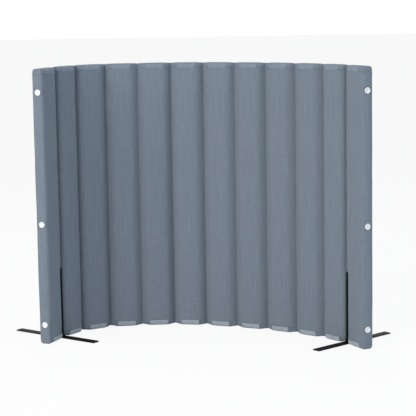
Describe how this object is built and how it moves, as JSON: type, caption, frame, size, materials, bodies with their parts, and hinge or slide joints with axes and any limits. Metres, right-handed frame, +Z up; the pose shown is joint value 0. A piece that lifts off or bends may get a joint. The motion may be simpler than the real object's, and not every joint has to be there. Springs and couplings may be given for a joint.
{
  "type": "accordion folding partition",
  "caption": "Free-standing curved soft wall of upright padded fabric panels that fold at sewn seams, with link buttons on its end faces and two push-in steel support feet.",
  "frame": {"origin": "on the floor, under the centre of the bounding box of the wall as it stands in its stored curve", "axes": "+X runs along the wall from left to right as seen from the front, -Y is the front, which the wall's hollow side faces, and +Z is up"},
  "size_m": [1.7076, 0.616, 1.2192],
  "materials": {
    "cover_fabric": "matte",
    "batt_fibre": "matte",
    "tab_webbing": "matte",
    "button_plastic": "satin",
    "foot_steel": "satin"
  },
  "bodies": {
    "panel_06": {"panel_06_cover": "cover_fabric", "panel_06_batt": "batt_fibre", "panel_06_top_tab": "tab_webbing", "panel_06_bottom_tab": "tab_webbing"},
    "panel_01": {"panel_01_cover": "cover_fabric", "panel_01_batt": "batt_fibre", "panel_01_top_tab": "tab_webbing", "panel_01_bottom_tab": "tab_webbing", "left_button_1": "button_plastic", "left_button_2": "button_plastic", "left_button_3": "button_plastic"},
    "panel_02": {"panel_02_cover": "cover_fabric", "panel_02_batt": "batt_fibre", "panel_02_top_tab": "tab_webbing", "panel_02_bottom_tab": "tab_webbing"},
    "panel_03": {"panel_03_cover": "cover_fabric", "panel_03_batt": "batt_fibre", "panel_03_top_tab": "tab_webbing", "panel_03_bottom_tab": "tab_webbing"},
    "panel_04": {"panel_04_cover": "cover_fabric", "panel_04_batt": "batt_fibre", "panel_04_top_tab": "tab_webbing", "panel_04_bottom_tab": "tab_webbing"},
    "panel_05": {"panel_05_cover": "cover_fabric", "panel_05_batt": "batt_fibre", "panel_05_top_tab": "tab_webbing", "panel_05_bottom_tab": "tab_webbing"},
    "panel_07": {"panel_07_cover": "cover_fabric", "panel_07_batt": "batt_fibre", "panel_07_top_tab": "tab_webbing", "panel_07_bottom_tab": "tab_webbing"},
    "panel_08": {"panel_08_cover": "cover_fabric", "panel_08_batt": "batt_fibre", "panel_08_top_tab": "tab_webbing", "panel_08_bottom_tab": "tab_webbing"},
    "panel_09": {"panel_09_cover": "cover_fabric", "panel_09_batt": "batt_fibre", "panel_09_top_tab": "tab_webbing", "panel_09_bottom_tab": "tab_webbing"},
    "panel_10": {"panel_10_cover": "cover_fabric", "panel_10_batt": "batt_fibre", "panel_10_top_tab": "tab_webbing", "panel_10_bottom_tab": "tab_webbing"},
    "panel_11": {"panel_11_cover": "cover_fabric", "panel_11_batt": "batt_fibre", "panel_11_top_tab": "tab_webbing", "panel_11_bottom_tab": "tab_webbing"},
    "panel_12": {"panel_12_cover": "cover_fabric", "panel_12_batt": "batt_fibre", "panel_12_top_tab": "tab_webbing", "panel_12_bottom_tab": "tab_webbing", "right_button_1": "button_plastic", "right_button_2": "button_plastic", "right_button_3": "button_plastic"},
    "left_foot": {"left_foot_bar": "foot_steel", "left_foot_front_upright": "foot_steel", "left_foot_back_upright": "foot_steel"},
    "right_foot": {"right_foot_bar": "foot_steel", "right_foot_front_upright": "foot_steel", "right_foot_back_upright": "foot_steel"}
  },
  "joints": [
    {"name": "seam_01", "type": "hinge", "parent": "panel_02", "child": "panel_01", "pos_m": [-0.63628, 0.04074, 0], "axis": [0, 0, 1], "range_deg": [-32, 8]},
    {"name": "seam_02", "type": "hinge", "parent": "panel_03", "child": "panel_02", "pos_m": [-0.55328, 0.16856, 0], "axis": [0, 0, -1], "range_deg": [-64, 112]},
    {"name": "seam_03", "type": "hinge", "parent": "panel_04", "child": "panel_03", "pos_m": [-0.42547, 0.25156, 0], "axis": [0, 0, 1], "range_deg": [-113, 63]},
    {"name": "seam_04", "type": "hinge", "parent": "panel_05", "child": "panel_04", "pos_m": [-0.27455, 0.27277, 0], "axis": [0, 0, -1], "range_deg": [-85, 91]},
    {"name": "seam_05", "type": "hinge", "parent": "panel_06", "child": "panel_05", "pos_m": [-0.12273, 0.28605, 0], "axis": [0, 0, 1], "range_deg": [-103, 73]},
    {"name": "seam_06", "type": "hinge", "parent": "panel_06", "child": "panel_07", "pos_m": [0.02736, 0.25959, 0], "axis": [0, 0, 1], "range_deg": [-77, 99]},
    {"name": "seam_07", "type": "hinge", "parent": "panel_07", "child": "panel_08", "pos_m": [0.16963, 0.20497, 0], "axis": [0, 0, -1], "range_deg": [-91, 85]},
    {"name": "seam_08", "type": "hinge", "parent": "panel_08", "child": "panel_09", "pos_m": [0.30886, 0.14298, 0], "axis": [0, 0, 1], "range_deg": [-80, 96]},
    {"name": "seam_09", "type": "hinge", "parent": "panel_09", "child": "panel_10", "pos_m": [0.4381, 0.06223, 0], "axis": [0, 0, -1], "range_deg": [-95, 81]},
    {"name": "seam_10", "type": "hinge", "parent": "panel_10", "child": "panel_11", "pos_m": [0.55654, -0.03368, 0], "axis": [0, 0, 1], "range_deg": [-77, 99]},
    {"name": "seam_11", "type": "hinge", "parent": "panel_11", "child": "panel_12", "pos_m": [0.6545, -0.15043, 0], "axis": [0, 0, -1], "range_deg": [-32, 8]},
    {"name": "left_foot_slide", "type": "slide", "parent": "panel_02", "child": "left_foot", "axis": [0, 0, -1], "range_m": [0, 0.32]},
    {"name": "right_foot_slide", "type": "slide", "parent": "panel_11", "child": "right_foot", "axis": [0, 0, -1], "range_m": [0, 0.32]}
  ]
}
